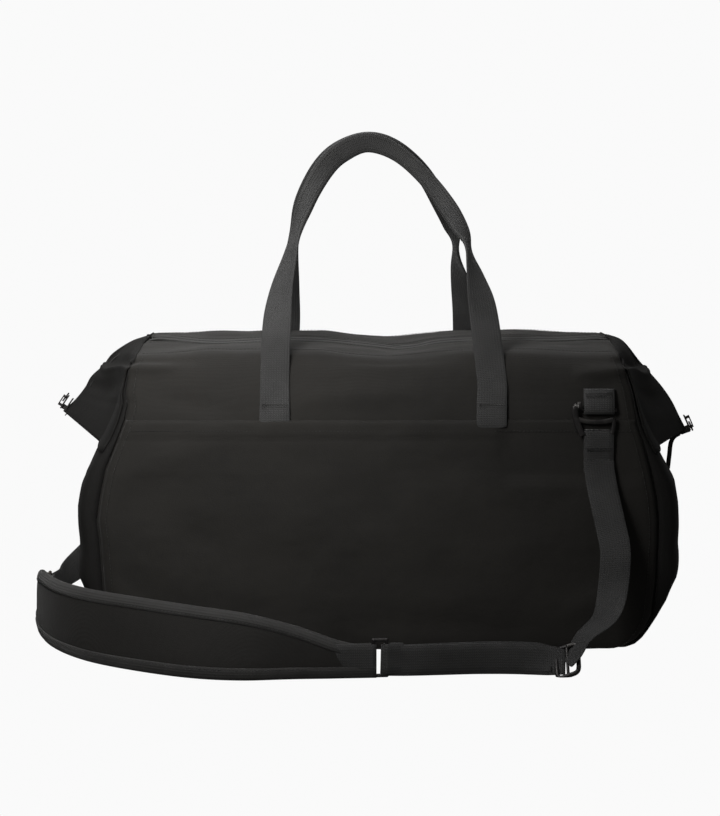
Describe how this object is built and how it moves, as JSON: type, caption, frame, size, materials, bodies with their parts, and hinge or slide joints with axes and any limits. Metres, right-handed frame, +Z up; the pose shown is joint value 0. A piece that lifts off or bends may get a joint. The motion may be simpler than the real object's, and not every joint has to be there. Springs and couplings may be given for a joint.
{
  "type": "weekender bag",
  "caption": "Soft canvas weekender bag with webbing handles, top zip, slip pockets and a hook-on padded shoulder strap resting on the floor.",
  "frame": {"origin": "centre of the underside of the base", "axes": "+X to the bag's right along its length, -Y out of the front face with the floor strap, +Z up"},
  "size_m": [0.5746, 0.3396, 0.4277],
  "materials": {
    "canvas": "fine woven canvas, matt",
    "pad_cloth": "fine woven canvas, matt",
    "webbing": "ribbed webbing",
    "binding": "ribbed binding tape",
    "lining": "plain woven lining",
    "zip_tape": "woven tape",
    "zip_coil": "nylon coil",
    "zip_metal": "dark plated",
    "hardware": "dark plated, worn bright at edges",
    "board": "stiff sheet",
    "foam": "closed-cell foam"
  },
  "bodies": {
    "bag": {"back_handle_left_foot": "webbing", "back_handle_right_foot": "webbing", "back_main_panel": "canvas", "back_pocket_panel": "canvas", "base_board": "board", "base_panel": "canvas", "front_handle_left_foot": "webbing", "front_handle_right_foot": "webbing", "front_main_panel": "canvas", "front_pocket_panel": "canvas", "inner_pocket_panel": "lining", "left_end_panel": "canvas", "left_wing_back": "canvas", "left_wing_front": "canvas", "lining_back": "lining", "lining_floor": "lining", "lining_front": "lining", "lining_left": "lining", "lining_right": "lining", "right_end_panel": "canvas", "right_wing_back": "canvas", "right_wing_front": "canvas", "strap_loop_back": "webbing", "strap_loop_front": "webbing", "top_panel_back": "canvas", "top_panel_front": "canvas", "zip_coil_back": "zip_coil", "zip_coil_front": "zip_coil", "zip_tape_back": "zip_tape", "zip_tape_front": "zip_tape"},
    "front_handle": {"front_handle_grip": "webbing", "front_handle_left_leg": "webbing", "front_handle_right_leg": "webbing"},
    "back_handle": {"back_handle_grip": "webbing", "back_handle_left_leg": "webbing", "back_handle_right_leg": "webbing"},
    "left_slider_body": {"left_slider": "zip_metal"},
    "left_pull": {"left_pull_ring": "zip_metal"},
    "right_slider_body": {"right_slider": "zip_metal"},
    "right_pull": {"right_pull_ring": "zip_metal", "right_pull_cord": "webbing"},
    "shoulder_strap": {"hook_back": "hardware", "hook_front": "hardware", "pad_binding_lower": "binding", "pad_binding_upper": "binding", "pad_cover_inner": "pad_cloth", "pad_cover_outer": "pad_cloth", "pad_foam": "foam", "ring_left": "hardware", "ring_left_eye_pad": "webbing", "ring_right": "hardware", "ring_right_eye_pad": "webbing", "strap_web_floor": "webbing", "strap_web_front": "webbing", "strap_web_rear": "webbing", "tri_glide": "hardware"}
  },
  "joints": [
    {"name": "front_handle_swing", "type": "hinge", "parent": "bag", "child": "front_handle", "pos_m": [0, -0.1045, 0.207], "axis": [1, 0, 0], "range_deg": [0, 120]},
    {"name": "back_handle_swing", "type": "hinge", "parent": "bag", "child": "back_handle", "pos_m": [0, 0.1045, 0.207], "axis": [-1, 0, 0], "range_deg": [0, 120]},
    {"name": "left_zip_travel", "type": "hinge", "parent": "bag", "child": "left_slider_body", "pos_m": [-0.1203, 0, 0.09426], "axis": [0, 1, 0], "range_deg": [0, 24]},
    {"name": "left_pull_swing", "type": "hinge", "parent": "left_slider_body", "child": "left_pull", "pos_m": [-0.27389, 0, 0.19718], "axis": [0, -1, 0], "range_deg": [0, 140]},
    {"name": "right_zip_travel", "type": "hinge", "parent": "bag", "child": "right_slider_body", "pos_m": [0.0958, 0, 0.10424], "axis": [0, -1, 0], "range_deg": [0, 24], "deforming": ["right_pull_cord"]},
    {"name": "right_pull_swing", "type": "hinge", "parent": "right_slider_body", "child": "right_pull", "pos_m": [0.26727, 0, 0.17873], "axis": [0, -1, 0], "range_deg": [0, 100]},
    {"name": "strap_unhook", "type": "slide", "parent": "bag", "child": "shoulder_strap", "axis": [-1, 0, 0], "range_m": [0, 0.045]}
  ]
}
